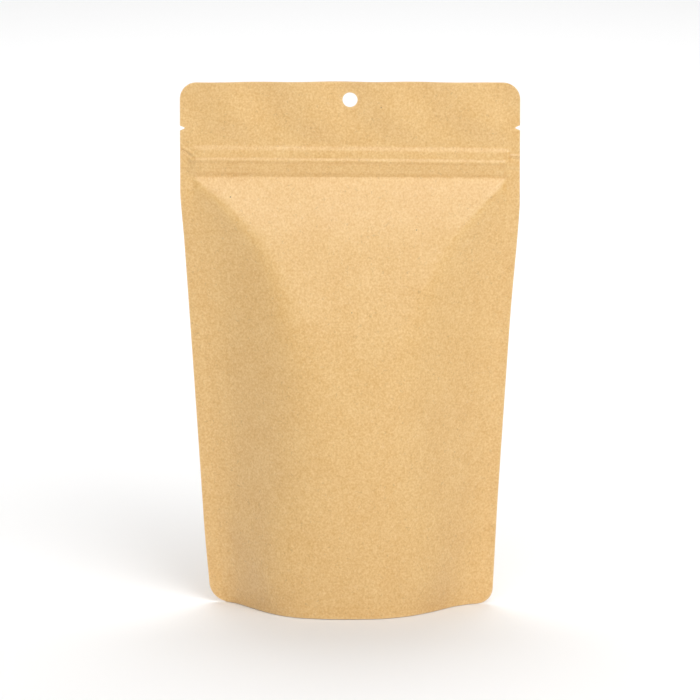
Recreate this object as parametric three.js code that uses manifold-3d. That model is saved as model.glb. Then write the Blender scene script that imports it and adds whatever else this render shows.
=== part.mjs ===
// A kraft paper stand-up pouch, closed and standing on its opened base.
//
// Two flat panels are sealed together along both sides. Above the press-to-close zipper they lie flat as a
// header with a hang hole. Below it they swing apart, so that the sides draw in, and a folded gusset under
// them makes a lens-shaped foot. The pouch is shut, so it is one solid, open only under the gusset.
//
// Millimetres. +Z is up, the front panel faces -Y, and the origin is on the floor at the middle of the foot.

import * as THREE from "three";
import { mergeVertices } from "three/addons/utils/BufferGeometryUtils.js";
import Module from "manifold-3d";

// Outline
const HEIGHT = 204;
const WIDTH = 130; // across the header and the zipper
const FOOT_WIDTH = 109; // across the side seals at the floor
const TAPER_TOP = 162; // height where the sides start to draw in
const TAPER_BOW = 0.015; // how far the tapered sides bow in, as a share of the taper
const SIDE_SEAL = 5; // width of the flat seal down each side
const CORNER_RADIUS = 6.5;
const SEAL_HALF = 0.4; // half the thickness of the header and the seals

// Swing of the panels
const FOLD_LOW = 20; // where the fold beside the shoulder ends, from the middle line
const FOLD_RUN = 32; // how fast that fold runs in from the zipper's end
const FOLD_SHARP = 4; // half the width of the fold at the zipper
const FOLD_SOFT = 20; // and at the foot
const FOLD_SOFTENS = 90; // distance over which it widens
const SEAM_EASE = 8; // strip beside the side seal in which the panel turns back towards the seal
const SEAM_LEVEL = 0.7; // share of the turn that is lost there

// Zipper: a raised band with a ridge where the two tracks press together
const BAND_TOP = HEIGHT - 24.8;
const BAND_BOTTOM = HEIGHT - 36.9;
const BAND_RISE = 0.45;
const BAND_EDGE = 1.2; // height of the slope at each edge of the band
const RIDGE_HEIGHT = HEIGHT - 31;
const RIDGE_RISE = 0.4; // above the band
const RIDGE_HALF = 0.9;

// Header
const HOLE_DIAMETER = 5.8;
const HOLE_DROP = 7; // from the top edge to the hole's centre
const NOTCH_DROP = 17.9; // from the top edge to the tear notches
const NOTCH_DEPTH = 1.8;
const NOTCH_MOUTH = 1.7;
const NOTCH_END_RADIUS = 0.4;

// Gusset: the folded base, seen from below as an arch with a crease along its middle
const RIM = 1.1; // thickness of the edge that the pouch stands on
const FOOT_SEAL = 4; // height of the seal between a panel and the gusset
const CREASE_MIDDLE = 20; // height of the crease at the middle of the foot
const CREASE_END = 36; // and beside the side seals
const CREASE_SHARPNESS = 1.5; // 1 is two flat flaps, 2 a rounded arch with no crease
const SEAL_SLOPE = 0.02; // how far the foot seal leans inwards, as a share of the foot's depth

// Fineness
const PANEL_STEPS = 20; // facets across half a panel
const BODY_ROWS = 24;
const ROW_CROWDING = 1.5; // over 1 brings the rows closer together towards the zipper
const HEADER_ROWS = 2;
const GUSSET_STEPS = 5; // facets from the rim to the crease
const SECTION_STEPS = 240; // steps in which a section is worked out
const HALVINGS = 40; // rounds in which its steepest turn is found
const MERGE_DISTANCE = 1e-4;
const HOLE_SEGMENTS = 48;
const CORNER_SEGMENTS = 10;

const HALF_PANEL = WIDTH / 2 - SIDE_SEAL;
const CUT_REACH = 12; // how far the cutting solids reach past the faces they cut
const ease = (from, to, value) => THREE.MathUtils.smoothstep(value, from, to);

// ---------------------------------------------------------------- sections

// Half the width of the flat outline at a height.
function outlineHalfWidth(z) {
  const fall = THREE.MathUtils.clamp((TAPER_TOP - z) / TAPER_TOP, 0, 1);
  const bowed = fall + TAPER_BOW * Math.sin(Math.PI * fall);
  return WIDTH / 2 - ((WIDTH - FOOT_WIDTH) / 2) * bowed;
}

// The share of its steepest turn that a panel has at a distance from its middle line.
function turnShare(distance, below) {
  const fold = FOLD_LOW + (HALF_PANEL - FOLD_LOW) * Math.exp(-below / FOLD_RUN);
  const softness = FOLD_SHARP + (FOLD_SOFT - FOLD_SHARP) * ease(0, FOLD_SOFTENS, below);
  const swung = ease(fold - softness, fold + softness, distance);
  return swung * (1 - SEAM_LEVEL * ease(HALF_PANEL - SEAM_EASE, HALF_PANEL, distance));
}

// The strip from the middle line to the side seal keeps its length at every height. This lays it out with
// a given steepest turn, as points across the panel: x, and fall from the level of the middle line.
function layOut(steepest, below) {
  const step = HALF_PANEL / SECTION_STEPS;
  const points = [{ x: 0, fall: 0 }];
  for (let i = 0; i < SECTION_STEPS; i++) {
    const turn = steepest * turnShare((i + 0.5) * step, below);
    const last = points[i];
    points.push({ x: last.x + step * Math.cos(turn), fall: last.fall + step * Math.sin(turn) });
  }
  return points;
}

// Half a panel's section at a height: PANEL_STEPS + 1 points with x and depth in front of the seal. The
// steepest turn is found by halving, so that the strip ends at the side seal.
function halfSection(z) {
  const below = Math.max(0, BAND_BOTTOM - z);
  const reach = outlineHalfWidth(z) - SIDE_SEAL;
  let low = 0;
  let high = Math.PI / 2;
  for (let i = 0; i < HALVINGS; i++) {
    const middle = (low + high) / 2;
    if (layOut(middle, below)[SECTION_STEPS].x > reach) low = middle;
    else high = middle;
  }
  const points = layOut(low, below);
  const depth = points[SECTION_STEPS].fall;
  const stride = SECTION_STEPS / PANEL_STEPS;
  return Array.from({ length: PANEL_STEPS + 1 }, (_, i) => {
    const { x, fall } = points[i * stride];
    return { x, depth: depth - fall };
  });
}

// How far the zipper stands out of a panel at a height.
function zipperRise(z) {
  const band = ease(BAND_BOTTOM, BAND_BOTTOM + BAND_EDGE, z) * (1 - ease(BAND_TOP - BAND_EDGE, BAND_TOP, z));
  const ridge = Math.max(0, 1 - Math.abs(z - RIDGE_HEIGHT) / RIDGE_HALF);
  return BAND_RISE * band + RIDGE_RISE * ridge;
}

// One row across a panel, from the left edge of the outline to the right, as x and depth.
function panelRow(z) {
  const half = halfSection(z);
  const rise = zipperRise(z);
  const right = half.map(({ x, depth }, i) => ({
    x,
    depth: SEAL_HALF + depth + (i < PANEL_STEPS ? rise : 0),
  }));
  right.push({ x: outlineHalfWidth(z), depth: SEAL_HALF });
  const left = right.slice(1).reverse();
  return [...left.map(({ x, depth }) => ({ x: -x, depth })), ...right];
}

// Heights of the rows: closer together at the shoulder, and one on each edge of the zipper's relief.
function rowHeights() {
  const body = Array.from({ length: BODY_ROWS }, (_, i) => {
    const share = i / BODY_ROWS;
    return BAND_BOTTOM * (1 - (1 - share) ** ROW_CROWDING);
  });
  const band = [
    BAND_BOTTOM,
    BAND_BOTTOM + BAND_EDGE,
    RIDGE_HEIGHT - RIDGE_HALF,
    RIDGE_HEIGHT,
    RIDGE_HEIGHT + RIDGE_HALF,
    BAND_TOP - BAND_EDGE,
    BAND_TOP,
  ];
  const header = Array.from(
    { length: HEADER_ROWS },
    (_, i) => BAND_TOP + ((HEIGHT - BAND_TOP) * (i + 1)) / HEADER_ROWS,
  );
  return [...body, ...band, ...header];
}

// ---------------------------------------------------------------- surfaces

// Collects the corners of triangles that face outwards.
class Skin {
  corners = [];

  triangle(a, b, c) {
    const isFlat = a.join() === b.join() || b.join() === c.join() || c.join() === a.join();
    if (!isFlat) this.corners.push(...a, ...b, ...c);
  }

  // A sheet of quads from rows of points: outwards is to the right of a row and up.
  sheet(rows) {
    for (let j = 0; j + 1 < rows.length; j++) {
      for (let i = 0; i + 1 < rows[j].length; i++) {
        const [a, b, c, d] = [rows[j][i], rows[j][i + 1], rows[j + 1][i + 1], rows[j + 1][i]];
        this.triangle(a, b, c);
        this.triangle(a, c, d);
      }
    }
  }

  geometry() {
    const geometry = new THREE.BufferGeometry();
    geometry.setAttribute("position", new THREE.Float32BufferAttribute(this.corners, 3));
    return geometry;
  }
}

// Height of the gusset's underside above the floor. The share runs from 0 at the top of the foot seal to 1
// at the crease.
function gussetHeight(x, share) {
  const outward = Math.min(1, Math.abs(x) / HALF_PANEL);
  const crease = CREASE_MIDDLE + (CREASE_END - CREASE_MIDDLE) * outward ** 2;
  return FOOT_SEAL + (crease - FOOT_SEAL) * (1 - (1 - share) ** CREASE_SHARPNESS);
}

// One column of the underside, from the front edge of the foot to the back edge: the rim, the foot seal,
// and the gusset up to its crease. There is no hollow under the flat side seals, and the outermost column
// is the bare edge of a side seal.
function gussetColumn({ x, depth }, index, row) {
  const hollow = ease(SEAL_HALF, SEAL_HALF + RIM, depth);
  const rimInside = Math.max(depth - RIM, depth / 2);
  const sealInside = rimInside * (1 - SEAL_SLOPE);
  const front = [
    [x, -depth, 0],
    [x, -rimInside, 0],
  ];
  for (let k = 0; k <= GUSSET_STEPS; k++) {
    const share = k / GUSSET_STEPS;
    front.push([x, -sealInside * (1 - share), hollow * gussetHeight(x, share)]);
  }
  const isEdge = index === 0 || index === row.length - 1;
  const half = isEdge ? front.map(() => front[0]) : front;
  const back = half.slice(0, -1).reverse();
  return [...half, ...back.map(([px, py, pz]) => [px, -py, pz])];
}

function closedPouch() {
  const heights = rowHeights();
  const rows = heights.map(panelRow);
  const front = rows.map((row, j) => row.map(({ x, depth }) => [x, -depth, heights[j]]));
  const back = front.map((row) => row.map(([x, y, z]) => [x, -y, z]).reverse());
  const last = front[0].length - 1;
  const skin = new Skin();
  skin.sheet(front);
  skin.sheet(back);
  skin.sheet(front.map((row, j) => [row[last], back[j][0]]));
  skin.sheet(back.map((row, j) => [row[last], front[j][0]]));
  const top = front.length - 1;
  skin.sheet([front[top], back[top].slice().reverse()]);
  const columns = rows[0].map(gussetColumn);
  skin.sheet(columns[0].map((_, k) => columns.map((column) => column[k])).reverse());
  return skin.geometry();
}

// ---------------------------------------------------------------- cuts

// A flat shape drawn in x and z, as a solid that reaches through the pouch along Y.
function throughCut(shape) {
  const geometry = new THREE.ExtrudeGeometry(shape, {
    depth: 2 * CUT_REACH,
    bevelEnabled: false,
    curveSegments: CORNER_SEGMENTS,
  });
  return geometry.translate(0, 0, -CUT_REACH).rotateX(Math.PI / 2);
}

// What rounding takes off the outline's corner between its side, which runs along sideTurn from the
// vertical, and a level edge. The corner is at (x, z); up is 1 at the top of the pouch and -1 at the foot.
function cornerCut(x, z, up, sideTurn) {
  const side = new THREE.Vector2(Math.sin(sideTurn), -up * Math.cos(sideTurn));
  const level = new THREE.Vector2(-1, 0);
  const half = Math.acos(side.dot(level)) / 2;
  const corner = new THREE.Vector2(x, z);
  const run = CORNER_RADIUS / Math.tan(half);
  const onSide = corner.clone().addScaledVector(side, run);
  const onLevel = corner.clone().addScaledVector(level, run);
  const centre = new THREE.Vector2(onLevel.x, z - up * CORNER_RADIUS);
  const startAngle = Math.atan2(onSide.y - centre.y, onSide.x - centre.x);
  const shape = new THREE.Shape();
  shape.moveTo(onLevel.x, z + up * CORNER_RADIUS);
  shape.lineTo(x + CORNER_RADIUS, z + up * CORNER_RADIUS);
  shape.lineTo(x + CORNER_RADIUS, onSide.y);
  shape.lineTo(onSide.x, onSide.y);
  shape.absarc(centre.x, centre.y, CORNER_RADIUS, startAngle, (up * Math.PI) / 2, up < 0);
  return throughCut(shape);
}

// A tear notch in the right edge of the header: a narrow wedge with a round end.
function notchCut() {
  const z = HEIGHT - NOTCH_DROP;
  const edge = WIDTH / 2;
  const end = edge - NOTCH_DEPTH + NOTCH_END_RADIUS;
  const shape = new THREE.Shape();
  shape.moveTo(edge + NOTCH_DEPTH, z - NOTCH_MOUTH);
  shape.lineTo(edge + NOTCH_DEPTH, z + NOTCH_MOUTH);
  shape.lineTo(edge, z + NOTCH_MOUTH / 2);
  shape.absarc(end, z, NOTCH_END_RADIUS, Math.PI / 2, (3 * Math.PI) / 2, false);
  shape.lineTo(edge, z - NOTCH_MOUTH / 2);
  return throughCut(shape);
}

function hangHole() {
  const radius = HOLE_DIAMETER / 2;
  const geometry = new THREE.CylinderGeometry(radius, radius, 2 * CUT_REACH, HOLE_SEGMENTS);
  return geometry.translate(0, 0, HEIGHT - HOLE_DROP);
}

// The same cut on the left, as the mirror image, with its faces turned back to face outwards.
function mirrored(geometry) {
  const flat = geometry.index ? geometry.toNonIndexed() : geometry.clone();
  const { array } = flat.attributes.position;
  for (let i = 0; i < array.length; i += 9) {
    const [a, b, c] = [0, 3, 6].map((k) => [-array[i + k], array[i + k + 1], array[i + k + 2]]);
    array.set([...a, ...c, ...b], i);
  }
  return flat;
}

// ---------------------------------------------------------------- joining

const solids = await Module();
solids.setup();

function toSolid(geometry) {
  const bare = new THREE.BufferGeometry();
  const flat = geometry.index ? geometry.toNonIndexed() : geometry;
  bare.setAttribute("position", flat.getAttribute("position"));
  const merged = mergeVertices(bare, MERGE_DISTANCE);
  return new solids.Manifold(
    new solids.Mesh({
      numProp: 3,
      vertProperties: merged.attributes.position.array,
      triVerts: new Uint32Array(merged.index.array),
    }),
  );
}

function toGeometry(solid) {
  const { vertProperties, triVerts } = solid.getMesh();
  const geometry = new THREE.BufferGeometry();
  geometry.setAttribute("position", new THREE.BufferAttribute(vertProperties, 3));
  geometry.setIndex(new THREE.BufferAttribute(triVerts, 1));
  geometry.computeVertexNormals();
  return geometry;
}

function pouch() {
  const taperAngle = Math.atan((WIDTH - FOOT_WIDTH) / 2 / TAPER_TOP);
  const rightCuts = [
    cornerCut(WIDTH / 2, HEIGHT, 1, 0),
    cornerCut(FOOT_WIDTH / 2, 0, -1, taperAngle),
    notchCut(),
  ];
  const cuts = [hangHole(), ...rightCuts, ...rightCuts.map(mirrored)];
  const solid = cuts.reduce((left, cut) => left.subtract(toSolid(cut)), toSolid(closedPouch()));
  const kraftPaper = new THREE.MeshStandardMaterial({
    color: 0xe6be84,
    roughness: 0.6,
    metalness: 0,
  });
  const mesh = new THREE.Mesh(toGeometry(solid), kraftPaper);
  mesh.name = "pouch";
  return mesh;
}

const group = new THREE.Group();
group.add(pouch());

export default group;
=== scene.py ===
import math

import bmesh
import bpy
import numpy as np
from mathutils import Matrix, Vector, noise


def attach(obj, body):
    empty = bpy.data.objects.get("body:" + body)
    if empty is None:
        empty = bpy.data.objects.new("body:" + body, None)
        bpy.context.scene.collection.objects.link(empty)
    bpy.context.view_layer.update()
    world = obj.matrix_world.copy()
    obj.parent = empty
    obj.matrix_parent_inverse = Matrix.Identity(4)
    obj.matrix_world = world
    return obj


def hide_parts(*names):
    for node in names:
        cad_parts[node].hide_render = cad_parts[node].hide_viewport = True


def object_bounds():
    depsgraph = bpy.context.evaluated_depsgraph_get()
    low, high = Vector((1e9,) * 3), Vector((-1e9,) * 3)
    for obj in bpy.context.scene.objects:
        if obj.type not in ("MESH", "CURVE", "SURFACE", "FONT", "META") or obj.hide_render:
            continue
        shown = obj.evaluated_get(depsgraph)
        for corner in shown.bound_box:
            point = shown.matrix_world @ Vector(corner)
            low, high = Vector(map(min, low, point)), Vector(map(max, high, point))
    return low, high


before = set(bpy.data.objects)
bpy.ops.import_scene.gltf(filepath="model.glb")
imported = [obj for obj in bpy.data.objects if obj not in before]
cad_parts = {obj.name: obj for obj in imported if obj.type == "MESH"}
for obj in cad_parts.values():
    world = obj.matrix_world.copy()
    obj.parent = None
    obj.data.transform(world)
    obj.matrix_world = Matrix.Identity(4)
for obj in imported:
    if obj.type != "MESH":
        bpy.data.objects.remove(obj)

# A kraft paper stand-up pouch, closed, standing on its opened foot.
#
# Both panels are laid out from their flat cut: a point of the paper is (s, z), with s measured along the
# paper from the middle line and z the height above the floor. Left and right are as seen from the front.
# Lengths are in millimetres until a mesh is made.

cad_low, cad_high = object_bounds()
MM = 0.001

# ---------------------------------------------------------------- sizes

HEIGHT = round((cad_high.z - cad_low.z) / MM, 2)
WIDTH = round((cad_high.x - cad_low.x) / MM, 2)
FOOT_WIDTH = 109.0
FOOT_DEPTH = 28.9  # from the middle plane to the panel's foot
SIDE_SEAL = 5.0
HALF_FLAT = WIDTH / 2
HALF_PANEL = HALF_FLAT - SIDE_SEAL
TOP_RADIUS = 6.5
PAPER = 0.16  # thickness of one sheet

TAPER_TOP = HEIGHT - 40.0  # below this the sides draw in
TAPER_BOW = 0.015          # how far they bow out on the way, as a share of the taper

LEFT, RIGHT = -1, 1
# Where each side edge swells out of its line: how far, at what height, and half the stretch.
EDGE_SWELL = {LEFT: (0.2, 158.0, 16.0), RIGHT: (0.55, 150.0, 40.0)}
# How far each side edge stands out at the foot, and the height at which that has died away.
FOOT_SWELL = {LEFT: (-0.6, 32.0), RIGHT: (0.3, 45.0)}

BAND_TOP = HEIGHT - 24.6
BAND_BOTTOM = HEIGHT - 36.9
RIDGE = HEIGHT - 30.6
HOLE_RADIUS = 2.85
HOLE_HEIGHT = HEIGHT - 7.0
NOTCH_HEIGHT = HEIGHT - 17.9
NOTCH_DEPTH = 1.8
NOTCH_HALF = 1.0
NOTCH_FLARE = 0.7  # below 1 the notch opens wider

FOOT_SEAL = 4.5           # height of the seal along the foot
CORNER_SEAL_FROM = 38.0   # where it starts to slant up, from the middle line
CORNER_SEAL_HEIGHT = 36.0  # where it meets the side seal
CREASE_MIDDLE = 22.0      # height of the gusset's crease in the middle
CREASE_END = 40.0         # and at the side seals
PAIR = 0.4                # depth of a panel with the gusset sealed to it
GUSSET_DEPTH = 38.0       # of its paper, from the foot to the crease


RIPPLE_GAIN = 1.6  # brings the noise up to about 1 either way


def smooth(low, high, value):
    """0 up to low, 1 from high on, and an S curve between."""
    share = np.clip((np.asarray(value, float) - low) / (high - low), 0.0, 1.0)
    return share * share * (3.0 - 2.0 * share)


def bump(centre, half, value):
    """A rounded hump: 1 at the centre, 0 from half a width away."""
    reach = np.clip(np.abs(np.asarray(value, float) - centre) / half, 0.0, 1.0)
    return 0.5 + 0.5 * np.cos(np.pi * reach)


def ripple(s, z, size, seed, stretch=1.0):
    """Smooth random ripples, mostly between -1 and 1; they are size wide and size times stretch high."""
    s, z = np.broadcast_arrays(np.asarray(s, float), np.asarray(z, float))
    places = zip(s.ravel() / size, z.ravel() / (size * stretch))
    values = [noise.noise(Vector((a, b, seed)), noise_basis="PERLIN_NEW") for a, b in places]
    return np.array(values).reshape(s.shape) * RIPPLE_GAIN


# ---------------------------------------------------------------- flat cut

def outline_half(z, side):
    """Half the width between the side edges, as the standing pouch is seen from the front."""
    fall = np.clip((TAPER_TOP - z) / TAPER_TOP, 0.0, 1.0)
    half = HALF_FLAT - (WIDTH - FOOT_WIDTH) / 2 * (fall + TAPER_BOW * np.sin(np.pi * fall))
    swell, level, reach = EDGE_SWELL[side]
    foot_swell, foot_reach = FOOT_SWELL[side]
    return half + swell * bump(level, reach, z) + foot_swell * (1.0 - smooth(0.0, foot_reach, z))


def flat_half(z, foot_radius):
    """Half the width of the flat cut at a height: its side edge, rounded corners and tear notches."""
    half = np.full(np.shape(z), HALF_FLAT)
    for radius, from_end in ((foot_radius, z), (TOP_RADIUS, HEIGHT - z)):
        into_corner = np.clip(radius - from_end, 0.0, radius)
        half = half - (radius - np.sqrt(radius ** 2 - into_corner ** 2))
    return half - NOTCH_DEPTH * bump(NOTCH_HEIGHT, NOTCH_HALF, z) ** NOTCH_FLARE


def spread(*stops):
    """Places from a start through stops of (end, spacing), each stretch with its own spacing."""
    places = [np.array([stops[0]], float)]
    last = stops[0]
    for end, spacing in stops[1:]:
        count = max(1, round(abs(end - last) / spacing))
        places.append(np.linspace(last, end, count + 1)[1:])
        last = end
    return np.concatenate(places)


CORNER_STEPS = 14


def corner_rows(radius):
    """Heights that go round a corner in even steps, from the level edge up to its side."""
    return radius * (1.0 - np.cos(np.linspace(0.0, np.pi / 2, CORNER_STEPS + 1)))


HOLE_FRAME = 5.0  # half the square of paper round the hang hole that is meshed in rings
PATCH_LOW, PATCH_HIGH = HOLE_HEIGHT - HOLE_FRAME, HOLE_HEIGHT + HOLE_FRAME
FOOT_ROWS = 7.5   # height of the rows that go round the foot's corners

# Spacing of the mesh: rows from the foot up, then columns from the middle out.
BODY_STEP = 1.7
SHOULDER_STEP = 0.95
BAND_STEP = 0.26
HEADER_STEP = 0.8
NOTCH_STEP = 0.13
PATCH_STEP = 1.0
MIDDLE_STEP = 1.2
SIDE_STEP = 0.7
EDGE_STEP = 0.36

SHOULDER_ROWS = BAND_BOTTOM - 45.0
NOTCH_MARGIN = 1.2
SIDE_COLUMNS = 50.0
EDGE_COLUMNS = 57.0
SQUEEZED_FROM = 48.0  # columns outside this are squeezed into the outline

rows = np.unique(np.round(np.concatenate([
    corner_rows(FOOT_ROWS),
    spread(FOOT_ROWS,
           (SHOULDER_ROWS, BODY_STEP),
           (BAND_BOTTOM - 3.0, SHOULDER_STEP),
           (BAND_TOP + 2.0, BAND_STEP),
           (NOTCH_HEIGHT - NOTCH_MARGIN, HEADER_STEP),
           (NOTCH_HEIGHT + NOTCH_MARGIN, NOTCH_STEP),
           (PATCH_LOW, HEADER_STEP),
           (PATCH_HIGH, PATCH_STEP)),
    HEIGHT - corner_rows(TOP_RADIUS),
]), 4))
right_columns = spread(0.0, (HOLE_FRAME, PATCH_STEP), (SIDE_COLUMNS, MIDDLE_STEP), (EDGE_COLUMNS, SIDE_STEP),
                       (HALF_FLAT, EDGE_STEP))
columns = np.concatenate([-right_columns[:0:-1], right_columns])

# ---------------------------------------------------------------- how a panel swings out

FOLD_START = 64.0   # where the folds start under the zipper, from the middle line
FOOT_FROM = 90.0    # how far below the zipper the foot starts to shape the sides
FOOT_SPREAD = 5.0   # how far the folds open out again towards the foot
FOOT_EASE = 8.0     # the seam_ease of every side at the foot
SOFTENS_FROM = 10.0  # the stretch below the zipper over which a fold gets softer
SOFTENS_TO = 140.0

SECTION_STEP = 0.25
BISECTIONS = 40
LEAST_TURN = 0.02   # radians; gives the level rows at the zipper a depth that can be scaled

# Slope of a panel's middle line: what it keeps at the foot, and what it has more of under the zipper.
# Each of those is an amount and the two distances below the zipper between which it dies away.
FOOT_SLOPE = 0.05
SHOULDER_SLOPES = ((0.10, 45.0, 135.0), (0.14, 30.0, 85.0), (0.17, 12.0, 26.0))
DEPTH_SAMPLES = 1001


class Side:
    """How the paper turns away from the side seal on one side of a panel."""

    def __init__(self, hand, fold_low, fold_run, sharp, soft, seam_ease, seam_level, foot_radius):
        self.hand = hand                # -1 left, 1 right, seen from the front
        self.fold_low = fold_low        # where the fold beside the shoulder ends, from the middle line
        self.fold_run = fold_run        # how fast the fold runs in from the zipper's end
        self.sharp = sharp              # half the width of the fold at the zipper,
        self.soft = soft                # and at the foot
        self.seam_ease = seam_ease      # strip beside the seal in which the paper turns back
        self.seam_level = seam_level    # share of the turn that is lost there
        self.foot_radius = foot_radius  # of the cut corner

    def turn_share(self, distance, below):
        """Share of the side's whole turn at a distance from the middle line, below the zipper."""
        to_foot = smooth(FOOT_FROM, BAND_BOTTOM, below)
        run_in = (FOLD_START - self.fold_low) * np.exp(-below / self.fold_run)
        fold = self.fold_low + run_in + FOOT_SPREAD * to_foot
        softness = self.sharp + (self.soft - self.sharp) * smooth(SOFTENS_FROM, SOFTENS_TO, below)
        swung = smooth(-1.0, 1.0, (distance - fold) / softness)
        ease = self.seam_ease + (FOOT_EASE - self.seam_ease) * to_foot
        return swung * (1.0 - self.seam_level * smooth(-1.0, 0.0, (distance - HALF_PANEL) / ease))


def half_sections(side, z):
    """x and depth of one half of a panel for every height, on a fine even grid from the middle to the seal.

    The paper keeps its length: each height's whole turn is searched for that brings the seal to the outline.
    """
    below = np.maximum(0.0, BAND_BOTTOM - z)[:, None]
    count = round(HALF_PANEL / SECTION_STEP)
    middles = (np.arange(count) + 0.5)[None, :] * SECTION_STEP
    share = side.turn_share(middles, below)
    reach = outline_half(z, side.hand) - SIDE_SEAL
    low = np.zeros(len(z))
    high = np.full(len(z), np.pi / 2)
    for _ in range(BISECTIONS):
        middle = (low + high) / 2
        too_wide = (np.cos(middle[:, None] * share) * SECTION_STEP).sum(1) > reach
        low = np.where(too_wide, middle, low)
        high = np.where(too_wide, high, middle)
    turn = low[:, None] * share
    zero = np.zeros((len(z), 1))
    x = np.hstack([zero, np.cumsum(np.cos(turn) * SECTION_STEP, 1)])
    sloped = np.maximum(turn, LEAST_TURN * share)
    fall = np.hstack([zero, np.cumsum(np.sin(sloped) * SECTION_STEP, 1)])
    return x, fall[:, -1:] - fall


def middle_depth(z):
    """Depth of a panel's middle line: a steep shoulder under the zipper that flattens towards the foot."""
    below = np.linspace(0.0, BAND_BOTTOM, DEPTH_SAMPLES)
    slope = FOOT_SLOPE
    for more, start, end in SHOULDER_SLOPES:
        slope = slope + more * (1.0 - smooth(start, end, below))
    depth = np.cumsum(slope) - slope[0]
    return np.interp(BAND_BOTTOM - z, below, depth * FOOT_DEPTH / depth[-1])


class Panel:
    """One panel: its middle surface, as x and depth at a place (s, z) on the paper, and its relief."""

    def __init__(self, sign, left, right, seed):
        self.sign = sign  # 1 in front, -1 behind
        self.left = left
        self.right = right
        self.seed = seed
        left_x, left_depth = half_sections(left, rows)
        right_x, right_depth = half_sections(right, rows)
        middle = middle_depth(rows)[:, None]
        left_depth = left_depth * middle / np.maximum(left_depth[:, :1], 1e-9)
        right_depth = right_depth * middle / np.maximum(right_depth[:, :1], 1e-9)
        self.s = np.arange(-left_x.shape[1] + 1, right_x.shape[1]) * SECTION_STEP
        self.x = np.hstack([-left_x[:, :0:-1], right_x])
        self.depth = np.hstack([left_depth[:, :0:-1], right_depth])

    def at(self, s, z):
        """x and depth of the middle surface; outside the seals the paper runs straight on."""
        s, z = np.broadcast_arrays(np.asarray(s, float), np.asarray(z, float))
        row = np.clip(np.searchsorted(rows, z) - 1, 0, len(rows) - 2)
        up = np.clip((z - rows[row]) / (rows[row + 1] - rows[row]), 0.0, 1.0)
        place = np.clip((s - self.s[0]) / SECTION_STEP, 0.0, len(self.s) - 1.001)
        col = place.astype(int)
        over = place - col

        def blend(table):
            lower = table[row, col] * (1 - over) + table[row, col + 1] * over
            upper = table[row + 1, col] * (1 - over) + table[row + 1, col + 1] * over
            return lower * (1 - up) + upper * up

        fin = s - np.clip(s, -HALF_PANEL, HALF_PANEL)
        return blend(self.x) + fin, blend(self.depth)

    def places(self):
        """s of every column in every row: the outer columns are squeezed into the outline."""
        c = columns[None, :]
        edge = np.where(c < 0, flat_half(rows, self.left.foot_radius)[:, None],
                        flat_half(rows, self.right.foot_radius)[:, None])
        squeeze = (edge - SQUEEZED_FROM) / (HALF_FLAT - SQUEEZED_FROM)
        outer = SQUEEZED_FROM + (np.abs(c) - SQUEEZED_FROM) * squeeze
        return np.where(np.abs(c) > SQUEEZED_FROM, np.sign(c) * outer, c)

    def relief(self, s, z):
        """How far the paper stands out of the middle surface."""
        under_zipper = smooth(0.0, OPENS_OVER, BAND_BOTTOM - z)
        inside_seal = 1.0 - smooth(HALF_PANEL - SEAL_FADE, HALF_PANEL, np.abs(s))
        dish = DISH * bump(0.0, DISH_HALF_WIDTH, s) * bump(BAND_BOTTOM - DISH_BELOW, DISH_HALF_HEIGHT, z)
        tuck_level = smooth(0.0, TUCK_STARTS, z) * (1.0 - smooth(TUCK_FADES_FROM, TUCK_FADES_TO, z))
        tuck = TUCK * bump(TUCK_AT, TUCK_HALF_WIDTH, np.abs(s)) * tuck_level
        cockle = FINE_COCKLE * ripple(s, z, FINE_COCKLE_SIZE, self.seed)
        cockle = cockle + COCKLE * ripple(s, z, COCKLE_SIZE, self.seed + COCKLE_SHIFT, COCKLE_STRETCH)
        body = under_zipper * inside_seal * (dish + tuck + cockle + corner_crease(s, z))
        return zipper_relief(s, z) + body

    def face(self, s, z, skin=PAPER):
        """Points on the outer face, or on the inner face with skin=0."""
        x, depth = self.at(s, z)
        out = skin + depth + gap(s, z) / 2
        if skin:
            out = out + self.relief(s, z)
        y = -(self.sign * out + sway(s, z))
        return np.stack(np.broadcast_arrays(x, y, z - top_bow(s, z)), -1)


# ---------------------------------------------------------------- relief

OPENS_OVER = 8.0          # below the zipper the body's relief grows over this
SEAL_FADE = 6.0           # and it dies away over this beside the side seals

DISH = -0.3               # the panel's middle is a little hollow under the shoulder
DISH_HALF_WIDTH = 34.0
DISH_BELOW = 42.0         # its middle, below the zipper
DISH_HALF_HEIGHT = 24.0

TUCK = 1.9                # beside the foot's middle the panel bulges over its foot
TUCK_AT = 33.0            # from the middle line
TUCK_HALF_WIDTH = 22.0
TUCK_STARTS = 12.0        # it grows from the floor up to here
TUCK_FADES_FROM = 14.0
TUCK_FADES_TO = 50.0

FINE_COCKLE = 0.08        # the paper's cockling, small
FINE_COCKLE_SIZE = 9.0
COCKLE = 0.30             # and large
COCKLE_SIZE = 24.0
COCKLE_STRETCH = 1.4
COCKLE_SHIFT = 5.0        # from the small cockling's seed to its own

CREASE = {LEFT: 4.4, RIGHT: 2.2}  # how the panel springs forward inside the slanting corner seals
CREASE_RUN = 20.0
CREASE_STARTS = 5.0
CREASE_FADES_FROM = 24.0
CREASE_FADES_TO = 46.0

ZIPPER_SLANT = 0.5        # how far the band sinks from left to right: evenly,
ZIPPER_BEND = 0.7         # and more and more
ZIPPER_LIFT = 0.42        # how far it is too high at its left end

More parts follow.
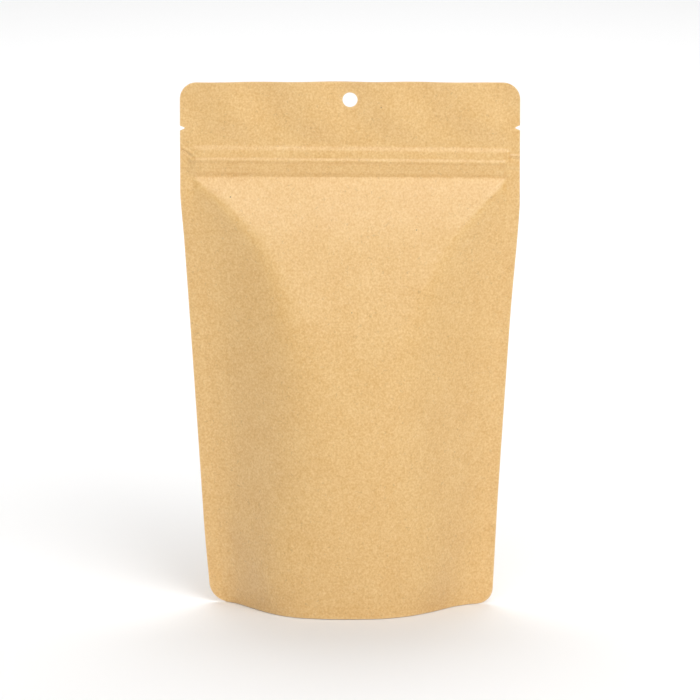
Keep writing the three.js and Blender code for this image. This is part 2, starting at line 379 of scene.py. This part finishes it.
BAND_HEIGHT = 0.55        # how far the band stands out
LIP_STARTS = -0.2         # its lower slope, from its lower edge up
LIP_ENDS = 1.9
UPPER_SLOPE = 2.3
CROWN = 0.5               # how much further out its middle is
CROWN_BELOW = 0.2         # under the ridge
CROWN_HALF = 6.6
RIDGE_HEIGHT = 0.4
RIDGE_HALF = 1.25
RIDGE_SHIFT = 0.8         # the ridge is this far off to the left
RIDGE_TAIL = 1.2
BAND_FADE_IN = 1.5        # the band dies away from this far inside the side seals
BAND_FADE_OUT = 3.0       # to this far over them


def zipper_drop(s):
    """The zipper was welded in a little askew: how far the band lies below its level place."""
    along = (s + HALF_FLAT) / WIDTH
    return ZIPPER_SLANT * along + ZIPPER_BEND * along ** 2 - ZIPPER_LIFT


def zipper_relief(s, z):
    """The zipper's band under the paper, its ridge, and its crushed ends."""
    d = z + zipper_drop(s)
    fade = 1.0 - smooth(HALF_PANEL - BAND_FADE_IN, HALF_PANEL + BAND_FADE_OUT, np.abs(s))
    lip = smooth(BAND_BOTTOM + LIP_STARTS, BAND_BOTTOM + LIP_ENDS, d)
    plateau = lip * (1.0 - smooth(BAND_TOP - UPPER_SLOPE, BAND_TOP, d))
    crown = CROWN * bump(RIDGE - CROWN_BELOW, CROWN_HALF, d)
    ridge_end = 1.0 - smooth(HALF_PANEL, HALF_PANEL + RIDGE_TAIL, np.abs(s + RIDGE_SHIFT))
    ridge = RIDGE_HEIGHT * bump(RIDGE, RIDGE_HALF, d) * ridge_end
    return fade * (BAND_HEIGHT * plateau + crown) + ridge + sum(scar(s, z, *line) for line in ZIPPER_SCARS)


def scar(s, z, s0, z0, s1, z1, half, height):
    """A narrow ridge, or a groove where height is negative, along a line on the paper."""
    over, up = s1 - s0, z1 - z0
    along = np.clip(((s - s0) * over + (z - z0) * up) / (over ** 2 + up ** 2), 0.0, 1.0)
    away = np.hypot(s - s0 - along * over, z - z0 - along * up)
    return height * bump(0.0, half, away)


# Where the zipper's ends were crushed flat in the side seals: from s, z to s, z, half the width, height.
ZIPPER_SCARS = (
    (-64.2, HEIGHT - 26.6, -60.6, HEIGHT - 28.9, 0.7, -0.3),
    (-63.8, HEIGHT - 25.6, -60.4, HEIGHT - 27.6, 0.9, 0.25),
    (-64.2, HEIGHT - 33.0, -61.8, HEIGHT - 33.2, 0.7, 0.16),
    (60.2, HEIGHT - 27.2, 60.6, HEIGHT - 30.6, 0.7, 0.3),
    (61.4, HEIGHT - 28.5, 64.8, HEIGHT - 28.7, 0.6, 0.3),
    (61.6, HEIGHT - 29.7, 64.9, HEIGHT - 30.0, 0.8, -0.16),
    (61.0, HEIGHT - 34.2, 64.9, HEIGHT - 34.6, 1.4, -0.15),
)


def corner_crease(s, z):
    """Inside the slanting corner seal the panel springs forward from its crease."""
    slant = CORNER_SEAL_HEIGHT / (HALF_PANEL - CORNER_SEAL_FROM)
    inward = (CORNER_SEAL_HEIGHT - z) / slant
    away = np.clip((HALF_PANEL - inward - np.abs(s)) / CREASE_RUN, 0.0, 1.0)
    level = smooth(0.0, CREASE_STARTS, z) * (1.0 - smooth(CREASE_FADES_FROM, CREASE_FADES_TO, z))
    strength = np.where(s < 0, CREASE[LEFT], CREASE[RIGHT]) * level
    return strength * away * (1.0 - away) ** 2


WAVE = 0.6                # waves that cross the header on a slant
WAVE_LENGTH = 30.5
WAVE_SLANT = 0.59
WAVE_START = 14.0
BLOTCH = 0.2              # and random dents among them
BLOTCH_SIZE = 14.0
BLOTCH_SEED = 41.0
PUCKER = 0.5              # bulges in a row above the zipper
PUCKER_PITCH = 32.5
PUCKER_START = 13.5
PUCKER_LEVEL = BAND_TOP + 9.5
PUCKER_HALF_HEIGHT = 9.0
WINGS = 1.1               # how far both sides of the shoulder lean forward
WINGS_FROM = 36.0         # from the middle line
WINGS_TO = 62.0
WINGS_START = -1.0        # below the zipper
WINGS_GROWN = 8.0
WINGS_GONE = 40.0
RIGHT_EAR = 3.6           # how far the right corner of the foot leans forward
EAR_FROM = 43.0           # from the middle line
EAR_TO = 62.0
EAR_HEIGHT = 45.0
FINS = {LEFT: -0.17, RIGHT: -0.12}  # slope of the side seals
FINS_START = 6.0          # below the zipper
FINS_GROWN = 26.0
HEADER_FROM = BAND_TOP - 2.0  # the header's waves grow from here
HEADER_GROWN = BAND_TOP + 10.0


def sway(s, z):
    """How far both sheets sway together, towards the front."""
    below = BAND_BOTTOM - z
    header = smooth(HEADER_FROM, HEADER_GROWN, z)
    phase = (s + WAVE_START + WAVE_SLANT * (z - BAND_TOP)) / WAVE_LENGTH
    waves = header * (WAVE * np.sin(2 * np.pi * phase) + BLOTCH * ripple(s, z, BLOTCH_SIZE, BLOTCH_SEED))
    puckers = 0.5 + 0.5 * np.cos(2 * np.pi * (s + PUCKER_START) / PUCKER_PITCH)
    pucker = PUCKER * bump(PUCKER_LEVEL, PUCKER_HALF_HEIGHT, z) * puckers
    wings_level = smooth(WINGS_START, WINGS_GROWN, below) * (1.0 - smooth(WINGS_GROWN, WINGS_GONE, below))
    wings = WINGS * smooth(WINGS_FROM, WINGS_TO, np.abs(s)) * wings_level
    right_ear = RIGHT_EAR * smooth(EAR_FROM, EAR_TO, s) * (1.0 - smooth(0.0, EAR_HEIGHT, z))
    slope = np.where(s < 0, FINS[LEFT], FINS[RIGHT])
    fins = smooth(FINS_START, FINS_GROWN, below) * slope * np.maximum(0.0, np.abs(s) - HALF_PANEL)
    return waves + pucker + wings + right_ear + fins


SLOT_HALF = 58.0          # half the width of the pocket between the header's sheets
POCKET_FLOOR = BAND_TOP + 1.0
SHEET_GAP = 0.02          # hairline between the sheets everywhere
POCKET_GAP = 0.8          # how much wider the pocket would be at POCKET_FULL
POCKET_FULL = HEIGHT + 6.0
TOP_BOW = 0.3
TOP_BOW_SHIFT = 8.0
TOP_BOW_POWER = 1.6


def gap(s, z):
    """How far the two sheets are apart: a hairline, and a little more in the header's pocket."""
    across = np.clip(1.0 - (s / SLOT_HALF) ** 2, 0.0, 1.0)
    return SHEET_GAP + POCKET_GAP * across * smooth(POCKET_FLOOR, POCKET_FULL, z)


def top_bow(s, z):
    """The top edge was cut a little bowed."""
    from_middle = np.abs((np.asarray(s, float) + TOP_BOW_SHIFT) / HALF_FLAT)
    return smooth(NOTCH_HEIGHT, HEIGHT, z) * TOP_BOW * from_middle ** TOP_BOW_POWER


# ---------------------------------------------------------------- mesh

WELD = 2e-7  # metres
SHARP_ANGLE = math.radians(40)


class Mesh:
    """Collects grids of points as quads, welds them and makes one object."""

    def __init__(self):
        self.points = []
        self.flat = []
        self.cut = []
        self.quads = []
        self.count = 0

    def grid(self, points, flat, cut, turned=False, skip=None):
        """flat is each point's place on the paper; cut is 1 where the paper was cut through, else 0."""
        high, wide = points.shape[:2]
        index = np.arange(high * wide).reshape(high, wide) + self.count
        quads = np.stack([index[:-1, :-1], index[:-1, 1:], index[1:, 1:], index[1:, :-1]], -1)
        if turned:
            quads = quads[..., ::-1]
        if skip is not None:
            quads = quads[~skip]
        self.quads.append(quads.reshape(-1, 4))
        self.points.append(points.reshape(-1, 3))
        self.flat.append(np.broadcast_to(flat, points.shape).reshape(-1, 3))
        self.cut.append(np.broadcast_to(cut, (high, wide)).reshape(-1))
        self.count += high * wide

    def object(self, name):
        mesh = bpy.data.meshes.new(name)
        points = np.concatenate(self.points) * MM
        mesh.from_pydata(points.tolist(), [], np.concatenate(self.quads).tolist())
        flat = mesh.attributes.new("flat", "FLOAT_VECTOR", "POINT")
        flat.data.foreach_set("vector", np.concatenate(self.flat).ravel())
        cut = mesh.attributes.new("cut", "FLOAT", "POINT")
        cut.data.foreach_set("value", np.concatenate(self.cut))
        bm = bmesh.new()
        bm.from_mesh(mesh)
        bmesh.ops.remove_doubles(bm, verts=bm.verts, dist=WELD)
        bmesh.ops.dissolve_degenerate(bm, edges=bm.edges, dist=WELD)
        bm.to_mesh(mesh)
        bm.free()
        mesh.shade_smooth()
        mesh.set_sharp_from_angle(angle=SHARP_ANGLE)
        made = bpy.data.objects.new(name, mesh)
        bpy.context.scene.collection.objects.link(made)
        return made


front = Panel(
    sign=1,
    left=Side(LEFT, fold_low=17, fold_run=27, sharp=5, soft=20,
              seam_ease=14, seam_level=0.62, foot_radius=7.5),
    right=Side(RIGHT, fold_low=14, fold_run=36, sharp=5, soft=22,
               seam_ease=12, seam_level=0.55, foot_radius=6.8),
    seed=3.0)
back = Panel(
    sign=-1,
    left=Side(LEFT, fold_low=17, fold_run=33, sharp=6, soft=20,
              seam_ease=12, seam_level=0.6, foot_radius=7.0),
    right=Side(RIGHT, fold_low=14, fold_run=33, sharp=5, soft=21,
               seam_ease=12, seam_level=0.6, foot_radius=5.6),
    seed=23.0)

# The quads of the grid that the rings round the hang hole take the place of.
cell_s = (columns[:-1] + columns[1:]) / 2
cell_z = (rows[:-1] + rows[1:]) / 2
in_patch = (np.abs(cell_s) < HOLE_FRAME)[None, :] & (np.abs(cell_z - HOLE_HEIGHT) < HOLE_FRAME)[:, None]
row_grid = np.broadcast_to(rows[:, None], (len(rows), len(columns)))


HOLE_RINGS = 6


def hole_rings():
    """Places on the paper round the hang hole: from the square that is left out of the grid to the hole."""
    nearly = 1e-6
    cols = columns[np.abs(columns) <= HOLE_FRAME + nearly]
    lines = rows[(rows > PATCH_LOW - nearly) & (rows < PATCH_HIGH + nearly)]
    bottom = [(c, lines[0]) for c in cols[:-1]]
    right = [(cols[-1], r) for r in lines[:-1]]
    top = [(c, lines[-1]) for c in cols[:0:-1]]
    left = [(cols[0], r) for r in lines[:0:-1]]
    square = np.array(bottom + right + top + left + bottom[:1])
    angle = np.arctan2(square[:, 1] - HOLE_HEIGHT, square[:, 0])
    circle = np.stack([HOLE_RADIUS * np.cos(angle), HOLE_HEIGHT + HOLE_RADIUS * np.sin(angle)], -1)
    share = np.linspace(0.0, 1.0, HOLE_RINGS)[:, None, None]
    return square * (1 - share) + circle * share


def flat_place(s, z, sign):
    """Places on the paper for its grain, in millimetres.

    The third number is 0 on the side edges, so that the grain runs on from one panel to the other, and it
    tells the panels apart inside them.
    """
    s, z = np.broadcast_arrays(s, z)
    return np.stack([s, z, sign * 0.5 * (HALF_FLAT - np.abs(s))], -1)


CUT_REACH = 0.55  # how far the pale fibres of a cut edge, and the painted highlight along it, reach into the sheet


def cut_share(s, z, panel):
    """1 on a cut edge of the panel, falling to 0 a little way in."""
    half = np.where(s < 0, flat_half(z, panel.left.foot_radius), flat_half(z, panel.right.foot_radius))
    from_hole = np.hypot(s, z - HOLE_HEIGHT) - HOLE_RADIUS
    away = np.minimum.reduce([half - np.abs(s), HEIGHT - z, z, from_hole])
    return np.clip(1.0 - away / CUT_REACH, 0.0, 1.0)


def paper_shell():
    """The whole pouch as one closed surface, with a narrow pocket between the header's two sheets."""
    shell = Mesh()
    rings = hole_rings()
    ring_s, ring_z = rings[..., 0], rings[..., 1]
    slot_rows = np.where(rows >= POCKET_FLOOR)[0]
    slot_cols = np.where(np.abs(columns) <= SLOT_HALF)[0]
    slot = np.ix_(slot_rows, slot_cols)
    in_slot_patch = in_patch[slot_rows[0]:slot_rows[-1], slot_cols[0]:slot_cols[-1]]
    outer = {}
    pocket = {}
    inner_top = {}
    for panel in (front, back):
        sign = panel.sign
        places = panel.places()
        flat = flat_place(places, row_grid, sign)
        cut = cut_share(places, row_grid, panel)
        ring_flat = flat_place(ring_s, ring_z, sign)
        ring_cut = cut_share(ring_s, ring_z, panel)
        outer[sign] = panel.face(places, row_grid)
        outer_ring = panel.face(ring_s, ring_z)
        shell.grid(outer[sign], flat, cut, turned=sign < 0, skip=in_patch)
        shell.grid(outer_ring, ring_flat, ring_cut, turned=sign < 0)
        # The inner face of the header's sheet, the wall of the hole, and the cut top edge over the pocket.
        inner = panel.face(places, row_grid, skin=0)
        inner_ring = panel.face(ring_s, ring_z, skin=0)
        pocket[sign] = inner[slot]
        shell.grid(pocket[sign], flat[slot], cut[slot], turned=sign > 0, skip=in_slot_patch)
        shell.grid(inner_ring, ring_flat, ring_cut, turned=sign > 0)
        shell.grid(np.stack([outer_ring[-1], inner_ring[-1]]), ring_flat[-1], 1.0, turned=sign < 0)
        inner_top[sign] = inner[-1]
        cut_top = np.stack([outer[sign][-1], inner[-1]])[:, slot_cols]
        shell.grid(cut_top, flat[-1][slot_cols], 1.0, turned=sign < 0)
    for end in (0, -1):
        edge_flat = flat_place(columns[end], rows[:, None], 1)
        shell.grid(np.stack([outer[1][:, end], outer[-1][:, end]], 1), edge_flat, 1.0, turned=end == 0)
    # Beside the pocket the two sheets' top edges are one.
    tops = np.stack([outer[1][-1], inner_top[1], inner_top[-1], outer[-1][-1]])
    tops[1, [0, -1]] = tops[0, [0, -1]]
    tops[2, [0, -1]] = tops[3, [0, -1]]
    for part in (slice(0, slot_cols[0] + 1), slice(slot_cols[-1], None)):
        shell.grid(tops[:, part], flat[-1][part], 1.0)
    # The pocket between the header's sheets ends at the zipper and short of the side edges.
    shell.grid(np.stack([pocket[1][0], pocket[-1][0]]), flat[slot][0], 0.0)
    for end in (0, -1):
        wall = np.stack([pocket[1][:, end], pocket[-1][:, end]], 1)
        shell.grid(wall, flat[slot][:, end][:, None], 0.0, turned=end == -1)
    add_underside(shell, outer)
    return shell.object("pouch_paper")


# ---------------------------------------------------------------- gusset

SEAL_STRIPS = 9
GUSSET_STRIPS = 15
GUSSET_BEND = 1.25     # above 1 the gusset rises steeply from its seal and levels out to its crease
SEALED_SHARE = 0.35    # least share of the depth that a sealed pair keeps
CREASE_LEVEL = 30.0    # height whose width the crease takes


def seal_height(s):
    """Height of the seal between panel and gusset: level along the foot, slanting up in the corners."""
    slant = np.clip((np.abs(s) - CORNER_SEAL_FROM) / (HALF_PANEL - CORNER_SEAL_FROM), 0.0, 1.0)
    return FOOT_SEAL + (CORNER_SEAL_HEIGHT - FOOT_SEAL) * slant


def crease_height(s):
    """Height of the gusset's crease, which rises from the middle to the side seals."""
    return CREASE_MIDDLE + (CREASE_END - CREASE_MIDDLE) * (s / HALF_PANEL) ** 2


def add_underside(shell, outer):
    """Adds the foot: the inside of each panel's seal, and the gusset up to its crease and down again."""
    lines = {1: [outer[1][0]], -1: [outer[-1][0]]}
    for panel in (front, back):
        sign = panel.sign
        s = panel.places()[0]
        sealed = seal_height(s)
        crease = crease_height(s)
        x_crease = s * (outline_half(CREASE_LEVEL, RIGHT) - SIDE_SEAL) / HALF_PANEL
        for share in np.linspace(0.0, 1.0, SEAL_STRIPS):
            z = sealed * share
            x, depth = panel.at(s, z)
            inside = np.maximum(depth + PAPER - PAIR, SEALED_SHARE * (depth + PAPER))
            lines[sign].append(np.stack([x, -sign * inside - sway(s, z), z], -1))
        start = lines[sign][-1]
        for share in np.linspace(0.0, 1.0, GUSSET_STRIPS)[1:]:
            bend = 1.0 - (1.0 - share) ** GUSSET_BEND
            x = start[:, 0] * (1 - share) + x_crease * share
            y = start[:, 1] * (1 - share)
            z = start[:, 2] + (crease - start[:, 2]) * bend
            lines[sign].append(np.stack([x, y, z], -1))
    strips = np.stack(lines[1] + lines[-1][-2::-1], 0)
    last = len(strips) - 1
    across = np.linspace(1.0, -1.0, last + 1)[:, None]
    flat = flat_place(front.places()[0][None, :], -GUSSET_DEPTH * (1.0 - np.abs(across)), across)
    cut = np.where(np.abs(across) == 1.0, 1.0, 0.0)
    # At both ends the strips run together into the foot's corners.
    middle = last // 2
    for end in (0, -1):
        strips[1:middle + 1, end] = strips[0, end]
        strips[middle + 1:last, end] = strips[last, end]
    shell.grid(strips, flat, cut, turned=True)


paper = paper_shell()
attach(paper, "root")
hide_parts("pouch")

# ---------------------------------------------------------------- kraft paper

KRAFT_DARK = (0.688, 0.371, 0.100, 1)  # the two ends of the pulp's mottling
KRAFT_LIGHT = (0.912, 0.638, 0.290, 1)
FIBRE_DARK = (0.50, 0.285, 0.105, 1)
FIBRE_PALE = (0.93, 0.67, 0.36, 1)
BARK = (0.11, 0.055, 0.022, 1)
# Colour of the cut edges: partly the paler colour of cut fibres, partly a painted highlight along the edges.
CUT_PALE_AND_HIGHLIGHT = (0.88, 0.63, 0.36, 1)

# Sizes of the mottling, and how strongly each colours the sheet.
GRAIN_CELL, GRAIN = 0.8, 1.45
CLUMP_CELL, CLUMPS = 3.2, 0.25
CLOUD_CELL, CLOUDS = 14.0, 0.25

DARK_FIBRE_CELL, DARK_FIBRE_COVER = 2.3, 0.42
PALE_FIBRE_CELL, PALE_FIBRE_COVER = 1.9, 0.38
FIBRE_EDGE, FIBRE_CORE = 0.016, 0.004  # how near its contour the noise is at a fibre's edge, and in its core
FIBRE_STARTS, FIBRE_FULL = 0.54, 0.60  # a second noise above these keeps a stretch of the line

# Scattered bits of bark: cell, radius and share of the cells that have one.
LARGE_BITS = (11.0, 0.17, 0.22)
SMALL_BITS = (3.4, 0.075, 0.45)
BARK_COVER = 0.75
# How strongly the cut edges take their pale colour, which is partly painted highlight.
CUT_PALE_AND_HIGHLIGHT_COVER = 0.55

# Larger bits of bark in the front panel: s, z and radius.
FLECKS = (
    (-45.7, 160.0, 0.42),
    (25.4, 148.1, 0.36),
    (11.9, 194.2, 0.34),
    (0.7, 117.6, 0.32),
)

ROUGHNESS = 0.43
GRAIN_ROUGHNESS = 0.16  # how much the grain, the clouds and a cut edge change it
CLOUD_ROUGHNESS = 0.10
CUT_ROUGHNESS = 0.2
VARNISH_IOR = 1.68
TOOTH = 0.035           # height of the grain's bumps
CLUMP_HEIGHT = 0.8      # shares of that height
PALE_FIBRE_HEIGHT = 0.3
DARK_FIBRE_HEIGHT = 0.2


class Paint:
    """Builds a material's nodes; an input is given a number, a colour or another node's output."""

    def __init__(self, name):
        self.material = bpy.data.materials.new(name)
        self.material.use_nodes = True
        self.tree = self.material.node_tree
        self.shader = self.tree.nodes["Principled BSDF"]

    def give(self, socket, value):
        if isinstance(value, bpy.types.NodeSocket):
            self.tree.links.new(value, socket)
        else:
            socket.default_value = value

    def node(self, kind, inputs, output=0, **settings):
        made = self.tree.nodes.new(kind)
        for key, value in settings.items():
            setattr(made, key, value)
        for key, value in inputs.items():
            self.give(made.inputs[key], value)
        return made.outputs[output]

    def math(self, operation, first, second=0.0):
        return self.node("ShaderNodeMath", {0: first, 1: second}, operation=operation)

    def add(self, *terms):
        total = terms[0]
        for term in terms[1:]:
            total = self.math("ADD", total, term)
        return total

    def times(self, value, gain):
        return self.math("MULTIPLY", value, gain)

    def noise(self, place, cell, shift, detail=0.0):
        """Noise between 0 and 1 with blobs of about cell millimetres; shift picks another pattern."""
        moved = self.node("ShaderNodeVectorMath", {0: place, 1: (shift, shift, shift)}, operation="ADD")
        return self.node("ShaderNodeTexNoise", {"Vector": moved, "Scale": 1.0 / cell, "Detail": detail})

    def off_middle(self, value, gain):
        """gain times how far a noise is from its middle."""
        return self.times(self.math("SUBTRACT", value, 0.5), gain)

    def step(self, value, low, high):
        """0 below low and 1 above high; the other way round where low is above high."""
        ends = {"Value": value, "From Min": min(low, high), "From Max": max(low, high)}
        ends["To Min"], ends["To Max"] = (0.0, 1.0) if low < high else (1.0, 0.0)
        return self.node("ShaderNodeMapRange", ends, interpolation_type="SMOOTHSTEP")

    def mix(self, share, first, second):
        return self.node("ShaderNodeMix", {0: share, 6: first, 7: second}, output=2, data_type="RGBA")

    def fibres(self, place, cell, shift):
        """Short curling lines: stretches of a noise's middle contour."""
        off_contour = self.math("SUBTRACT", self.noise(place, cell, shift, detail=1.0), 0.5)
        line = self.step(self.math("ABSOLUTE", off_contour), FIBRE_EDGE, FIBRE_CORE)
        stretch = self.step(self.noise(place, cell * 0.7, shift + 40.0), FIBRE_STARTS, FIBRE_FULL)
        return self.times(line, stretch)

    def bits(self, place, cell, radius, kept):
        """Scattered dots, one in each cell that is kept; kept is the share of the cells."""
        scale = {"Vector": place, "Scale": 1.0 / cell}
        away = self.node("ShaderNodeTexVoronoi", scale, output=0)
        lot = self.node("ShaderNodeTexVoronoi", scale, output=1)
        chosen = self.math("LESS_THAN", self.node("ShaderNodeSeparateColor", {0: lot}), kept)
        return self.times(self.step(away, radius / cell, 0.5 * radius / cell), chosen)

    def fleck(self, place, s, z, radius):
        """A dot at one place on the front panel."""
        spot = tuple(flat_place(s, z, front.sign))
        away = self.node("ShaderNodeVectorMath", {0: place, 1: spot}, output=1, operation="DISTANCE")
        return self.step(away, radius, 0.3 * radius)


def kraft_material():
    """Unbleached kraft paper under a thin satin varnish."""
    paint = Paint("kraft_paper_sheet")
    place = paint.node("ShaderNodeAttribute", {}, output=1, attribute_name="flat")
    cut = paint.node("ShaderNodeAttribute", {}, output=2, attribute_name="cut")

    grain = paint.noise(place, GRAIN_CELL, 0.0, detail=2.0)
    clumps = paint.noise(place, CLUMP_CELL, 11.0, detail=1.0)
    clouds = paint.noise(place, CLOUD_CELL, 23.0, detail=1.0)
    dark_fibres = paint.fibres(place, DARK_FIBRE_CELL, 31.0)
    pale_fibres = paint.fibres(place, PALE_FIBRE_CELL, 57.0)
    bark = paint.add(paint.bits(place, *LARGE_BITS), paint.bits(place, *SMALL_BITS))
    for s, z, radius in FLECKS:
        bark = paint.add(bark, paint.fleck(place, s, z, radius))

    mottle = paint.add(paint.off_middle(grain, GRAIN), paint.off_middle(clumps, CLUMPS),
                       paint.off_middle(clouds, CLOUDS), 0.5)
    colour = paint.mix(mottle, KRAFT_DARK, KRAFT_LIGHT)
    colour = paint.mix(paint.times(dark_fibres, DARK_FIBRE_COVER), colour, FIBRE_DARK)
    colour = paint.mix(paint.times(pale_fibres, PALE_FIBRE_COVER), colour, FIBRE_PALE)
    colour = paint.mix(paint.times(bark, BARK_COVER), colour, BARK)
    # Cut edges go paler: partly their cut fibres' own colour, partly a painted highlight along the edges.
    colour = paint.mix(paint.times(cut, CUT_PALE_AND_HIGHLIGHT_COVER), colour, CUT_PALE_AND_HIGHLIGHT)
    paint.give(paint.shader.inputs["Base Color"], colour)

    satin = paint.add(paint.off_middle(grain, GRAIN_ROUGHNESS), paint.off_middle(clouds, CLOUD_ROUGHNESS),
                      paint.times(cut, CUT_ROUGHNESS), ROUGHNESS)
    paint.give(paint.shader.inputs["Roughness"], satin)
    height = paint.add(grain, paint.off_middle(clumps, CLUMP_HEIGHT),
                       paint.times(pale_fibres, PALE_FIBRE_HEIGHT),
                       paint.times(dark_fibres, DARK_FIBRE_HEIGHT))
    tooth = paint.node("ShaderNodeBump", {"Height": height, "Strength": 1.0, "Distance": TOOTH * MM})
    paint.give(paint.shader.inputs["Normal"], tooth)
    paint.shader.inputs["IOR"].default_value = VARNISH_IOR
    return paint.material


paper.data.materials.append(kraft_material())

# ---------------------------------------------------------------- stage, in metres

LIGHT_DISTANCE = 1.6
MIDDLE = Vector((0.0, 0.0, 0.1))

# Lamps round the pouch: degrees to the right of the front, degrees above level, size, power.
SOFTBOXES = {
    "key": (26, 34, 0.9, 8.0),
    "front": (0, 38, 1.3, 4.4),
    "fill": (-25, 35, 1.3, 1.4),
    "over_right": (30, 60, 0.9, 5.2),
    "over": (0, 66, 1.3, 4.6),
    "rim_left": (-98, 9, 0.6, 1.9),
}
# A lamp over the floor behind the pouch, which keeps it as white there as in front.
BACKDROP_PLACE = Vector((0.0, 1.0, 1.3))
BACKDROP_SIZE = 1.4
BACKDROP_POWER = 21.5
STUDIO_LIGHT = 0.11

FLOOR_HALF = 6.0
FLOOR_DROP = 0.0002  # keeps the floor clear of the pouch's foot
FLOOR_WHITE = (0.9, 0.9, 0.9, 1)
FLOOR_ROUGHNESS = 0.9

CAMERA_TARGET = Vector((0.0, 0.0, 0.0994))
CAMERA_DISTANCE = 3.0
CAMERA_RISE = math.radians(12.0)
CAMERA_LENS = 401.4


def lamp(name, place, turned, size, power):
    """A square lamp at a place; unturned, it shines straight down."""
    data = bpy.data.lights.new(name, "AREA")
    data.shape = "SQUARE"
    data.size = size
    data.energy = power
    made = bpy.data.objects.new(name, data)
    made.location = place
    made.rotation_euler = turned
    bpy.context.scene.collection.objects.link(made)


def softbox(name, turn, rise, size, power):
    """A lamp aimed at the pouch's middle."""
    turn, rise = math.radians(turn), math.radians(rise)
    way = Vector((math.sin(turn) * math.cos(rise), -math.cos(turn) * math.cos(rise), math.sin(rise)))
    lamp(name, MIDDLE + way * LIGHT_DISTANCE, way.to_track_quat("Z", "Y").to_euler(), size, power)


def white_floor():
    mesh = bpy.data.meshes.new("floor")
    bm = bmesh.new()
    bmesh.ops.create_grid(bm, x_segments=1, y_segments=1, size=FLOOR_HALF)
    bm.to_mesh(mesh)
    bm.free()
    floor = bpy.data.objects.new("floor", mesh)
    floor.location.z = -FLOOR_DROP
    bpy.context.scene.collection.objects.link(floor)
    material = bpy.data.materials.new("floor_white")
    material.use_nodes = True
    shader = material.node_tree.nodes["Principled BSDF"]
    shader.inputs["Base Color"].default_value = FLOOR_WHITE
    shader.inputs["Roughness"].default_value = FLOOR_ROUGHNESS
    floor.data.materials.append(material)


def studio():
    """Even white light from all round."""
    world = bpy.data.worlds.new("studio")
    bpy.context.scene.world = world
    world.use_nodes = True
    background = world.node_tree.nodes["Background"]
    background.inputs["Color"].default_value = (1, 1, 1, 1)
    background.inputs["Strength"].default_value = STUDIO_LIGHT


def camera():
    """A long lens in front of the pouch and a little above it."""
    data = bpy.data.cameras.new("camera")
    data.lens = CAMERA_LENS
    made = bpy.data.objects.new("camera", data)
    back_way = Vector((0.0, -math.cos(CAMERA_RISE), math.sin(CAMERA_RISE)))
    made.location = CAMERA_TARGET + back_way * CAMERA_DISTANCE
    made.rotation_euler = (-back_way).to_track_quat("-Z", "Y").to_euler()
    bpy.context.scene.collection.objects.link(made)
    bpy.context.scene.camera = made


white_floor()
studio()
camera()
for lamp_name, settings in SOFTBOXES.items():
    softbox(lamp_name, *settings)
lamp("backdrop", BACKDROP_PLACE, (0.0, 0.0, 0.0), BACKDROP_SIZE, BACKDROP_POWER)
bpy.context.scene.view_settings.view_transform = "Standard"
